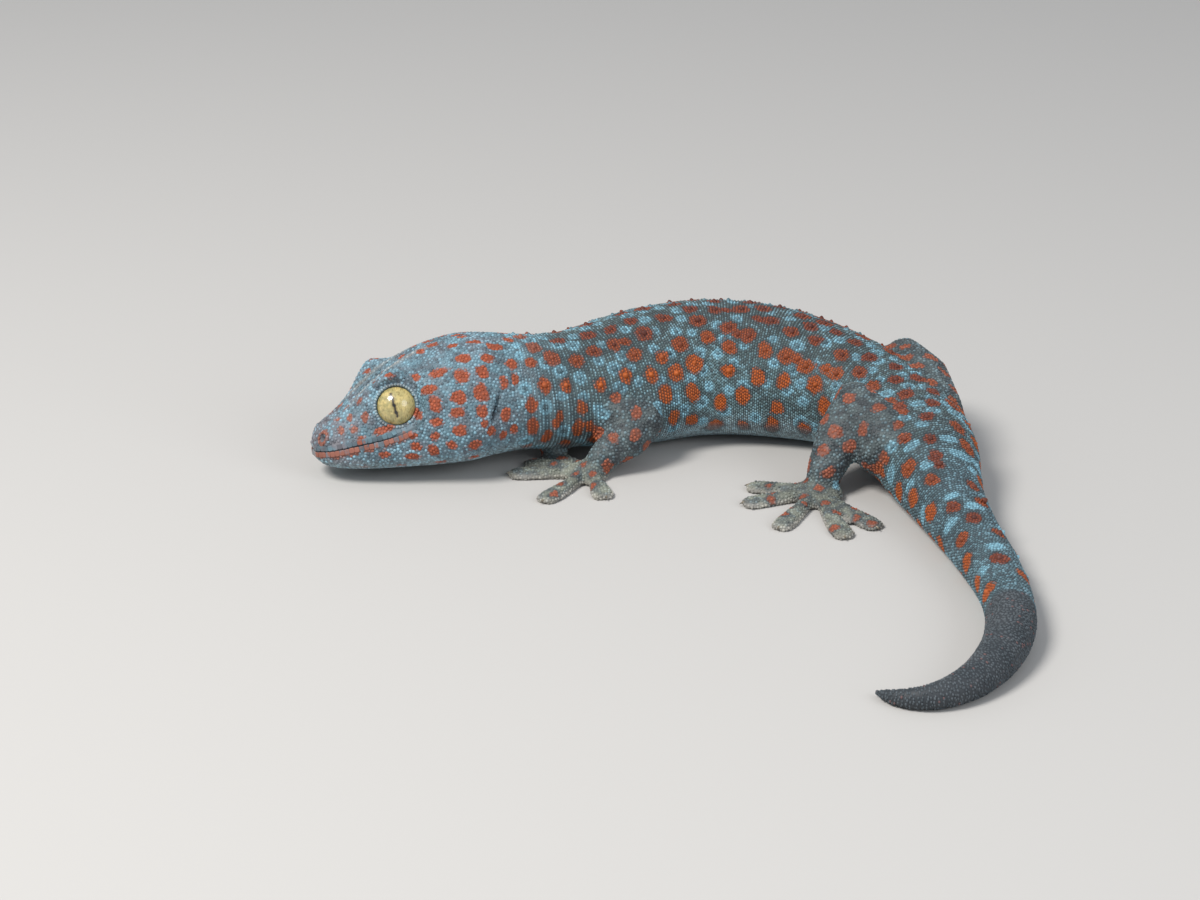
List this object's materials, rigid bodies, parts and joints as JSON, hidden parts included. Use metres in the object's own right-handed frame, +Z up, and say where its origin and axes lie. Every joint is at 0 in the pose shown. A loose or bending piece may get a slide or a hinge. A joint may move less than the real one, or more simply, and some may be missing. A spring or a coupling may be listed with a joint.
{
  "type": "tokay gecko",
  "caption": "Life-size still model of a tokay gecko lying flat, head raised slightly and turned, body bent in an arc, toes spread and the tail curled on the floor.",
  "frame": {"origin": "on the floor under the middle of the belly, on the flat that the belly rests on", "axes": "+Z up; the snout points to -X and the tail runs to -Y, so the animal's left side faces -Y"},
  "size_m": [0.1419, 0.1754, 0.0282],
  "materials": {
    "skin": "matt granular scaly skin, blue-grey with orange-red and pale blue spots",
    "toe_skin": "matt pale grey-green skin with blotches of orange",
    "regrown_skin": "matt fine dark blue-grey skin without spots",
    "eye": "glossy, gold-olive iris with a dark upright slit",
    "claw": "satin horn"
  },
  "bodies": {
    "root": {"head": "skin", "lower_jaw": "skin", "neck": "skin", "chest": "skin", "belly": "skin", "pelvis": "skin", "tail_base": "skin", "tail_middle": "skin", "upper_arm_left": "skin", "forearm_left": "skin", "upper_arm_right": "skin", "forearm_right": "skin", "thigh_left": "skin", "shin_left": "skin", "thigh_right": "skin", "shin_right": "skin", "hand_left": "toe_skin", "hand_right": "toe_skin", "foot_left": "toe_skin", "foot_right": "toe_skin", "tail_regrown": "regrown_skin", "tail_tip": "regrown_skin", "eye_left": "eye", "eye_right": "eye"}
  },
  "joints": []
}
